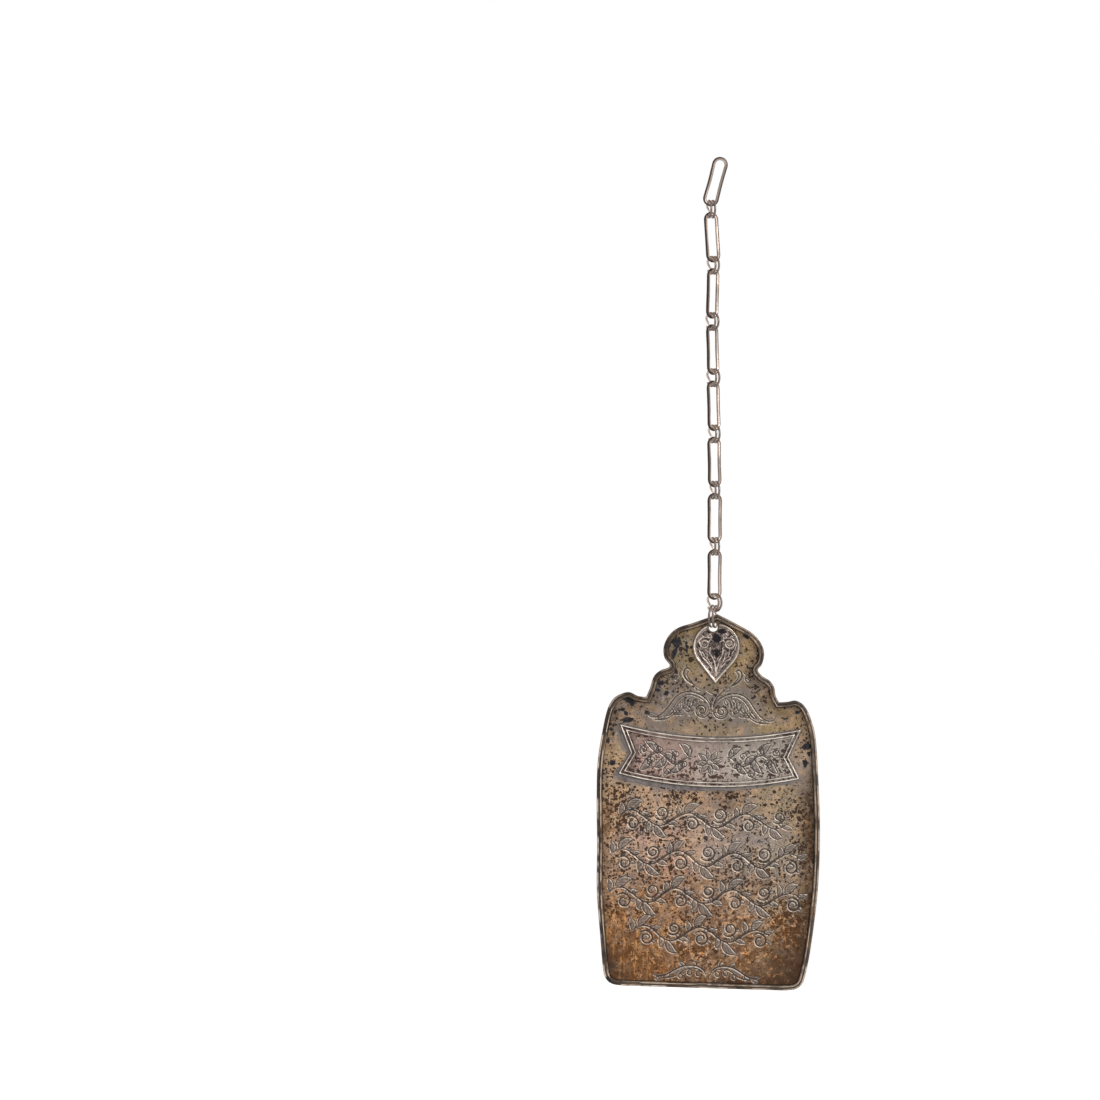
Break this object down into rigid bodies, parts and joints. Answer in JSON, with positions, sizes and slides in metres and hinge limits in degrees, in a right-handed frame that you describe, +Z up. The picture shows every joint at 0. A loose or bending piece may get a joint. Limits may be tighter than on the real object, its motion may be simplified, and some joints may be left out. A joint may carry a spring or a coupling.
{
  "type": "torah shield breastplate",
  "caption": "Small shield-shaped breastplate of parcel-gilt silver with a lobed crest, a drop mount and a swallow-tailed banner, hung on a chain of long wire links and wound rings.",
  "frame": {"origin": "inside of the top link's upper end, on the XZ plane, where a hook bears", "axes": "+Z up along the hanging chain, -Y out of the shield's face, +X to the right of someone facing it"},
  "size_m": [0.0596, 0.0062, 0.2226],
  "materials": {
    "gilt_sheet": "worn gilding over silver, engraved, pitted and dark in the hollows",
    "rim_silver": "tarnished silver with bright worn edges and rests of gilding",
    "mount_silver": "silver with a rosy grey tarnish and bright raised lines",
    "chain_silver": "drawn silver wire, warm grey tarnish, worn bright on the outside"
  },
  "bodies": {
    "chain_link_1": {"chain_link_1": "chain_silver"},
    "chain_ring_1": {"chain_ring_1": "chain_silver"},
    "chain_link_2": {"chain_link_2": "chain_silver"},
    "chain_ring_2": {"chain_ring_2": "chain_silver"},
    "chain_link_3": {"chain_link_3": "chain_silver"},
    "chain_ring_3": {"chain_ring_3": "chain_silver"},
    "chain_link_4": {"chain_link_4": "chain_silver"},
    "chain_ring_4": {"chain_ring_4": "chain_silver"},
    "chain_link_5": {"chain_link_5": "chain_silver"},
    "chain_ring_5": {"chain_ring_5": "chain_silver"},
    "chain_link_6": {"chain_link_6": "chain_silver"},
    "chain_ring_6": {"chain_ring_6": "chain_silver"},
    "chain_link_7": {"chain_link_7": "chain_silver"},
    "chain_ring_7": {"chain_ring_7": "chain_silver"},
    "chain_link_8": {"chain_link_8": "chain_silver"},
    "chain_ring_8": {"chain_ring_8": "chain_silver"},
    "plate_ring": {"plate_ring": "chain_silver"},
    "shield": {"shield_plate": "gilt_sheet", "rim_moulding": "rim_silver", "rim_wire": "rim_silver", "drop_plaque": "mount_silver", "drop_border": "mount_silver", "drop_foliage": "mount_silver", "banner_plaque": "mount_silver", "banner_outer_wire": "mount_silver", "banner_inner_wire": "mount_silver"}
  },
  "joints": [
    {"name": "ring_1_swing", "type": "hinge", "parent": "chain_link_1", "child": "chain_ring_1", "pos_m": [-0.00272, 0, -0.01182], "axis": [-0.9703, -0.2419, 0], "range_deg": [-80, 80]},
    {"name": "link_2_swing", "type": "hinge", "parent": "chain_ring_1", "child": "chain_link_2", "pos_m": [-0.00272, 0, -0.01585], "axis": [-0.4686, 0.8829, -0.0287], "range_deg": [-80, 80]},
    {"name": "ring_2_swing", "type": "hinge", "parent": "chain_link_2", "child": "chain_ring_2", "pos_m": [-0.00215, 0, -0.02681], "axis": [0.8829, 0.4695, 0], "range_deg": [-80, 80]},
    {"name": "link_3_swing", "type": "hinge", "parent": "chain_ring_2", "child": "chain_link_3", "pos_m": [-0.00215, 0, -0.03084], "axis": [0.6689, -0.7431, -0.0175], "range_deg": [-80, 80]},
    {"name": "ring_3_swing", "type": "hinge", "parent": "chain_link_3", "child": "chain_ring_3", "pos_m": [-0.00239, 0, -0.04182], "axis": [-0.848, -0.5299, 0], "range_deg": [-80, 80]},
    {"name": "link_4_swing", "type": "hinge", "parent": "chain_ring_3", "child": "chain_link_4", "pos_m": [-0.00239, 0, -0.04585], "axis": [-0.6689, 0.7431, -0.0175], "range_deg": [-80, 80]},
    {"name": "ring_4_swing", "type": "hinge", "parent": "chain_link_4", "child": "chain_ring_4", "pos_m": [-0.00215, 0, -0.05682], "axis": [0.848, 0.5299, 0], "range_deg": [-80, 80]},
    {"name": "link_5_swing", "type": "hinge", "parent": "chain_ring_4", "child": "chain_link_5", "pos_m": [-0.00215, 0, -0.06086], "axis": [0.6155, -0.788, 0.0161], "range_deg": [-80, 80]},
    {"name": "ring_5_swing", "type": "hinge", "parent": "chain_link_5", "child": "chain_ring_5", "pos_m": [-0.00191, 0, -0.07183], "axis": [-0.8988, -0.4384, 0], "range_deg": [-80, 80]},
    {"name": "link_6_swing", "type": "hinge", "parent": "chain_ring_5", "child": "chain_link_6", "pos_m": [-0.00191, 0, -0.07586], "axis": [-0.5298, 0.848, -0.0092], "range_deg": [-80, 80]},
    {"name": "ring_6_swing", "type": "hinge", "parent": "chain_link_6", "child": "chain_ring_6", "pos_m": [-0.00174, 0, -0.08684], "axis": [0.9511, 0.309, 0], "range_deg": [-80, 80]},
    {"name": "link_7_swing", "type": "hinge", "parent": "chain_ring_6", "child": "chain_link_7", "pos_m": [-0.00174, 0, -0.09087], "axis": [0.4384, -0.8988, 0], "range_deg": [-80, 80]},
    {"name": "ring_7_swing", "type": "hinge", "parent": "chain_link_7", "child": "chain_ring_7", "pos_m": [-0.00174, 0, -0.10185], "axis": [-0.9613, -0.2756, 0], "range_deg": [-80, 80]},
    {"name": "link_8_swing", "type": "hinge", "parent": "chain_ring_7", "child": "chain_link_8", "pos_m": [-0.00174, 0, -0.10588], "axis": [-0.454, 0.891, 0.004], "range_deg": [-80, 80]},
    {"name": "ring_8_swing", "type": "hinge", "parent": "chain_link_8", "child": "chain_ring_8", "pos_m": [-0.00183, 0, -0.11686], "axis": [0.7547, 0.6561, 0], "range_deg": [-80, 80]},
    {"name": "plate_ring_swing", "type": "hinge", "parent": "chain_ring_8", "child": "plate_ring", "pos_m": [-0.00193, 0, -0.12173], "axis": [0.9432, -0.3256, -0.066], "range_deg": [-40, 40]},
    {"name": "shield_swing", "type": "hinge", "parent": "plate_ring", "child": "shield", "pos_m": [-0.00213, 0, -0.12459], "axis": [0, 1, 0], "range_deg": [-40, 40]}
  ]
}
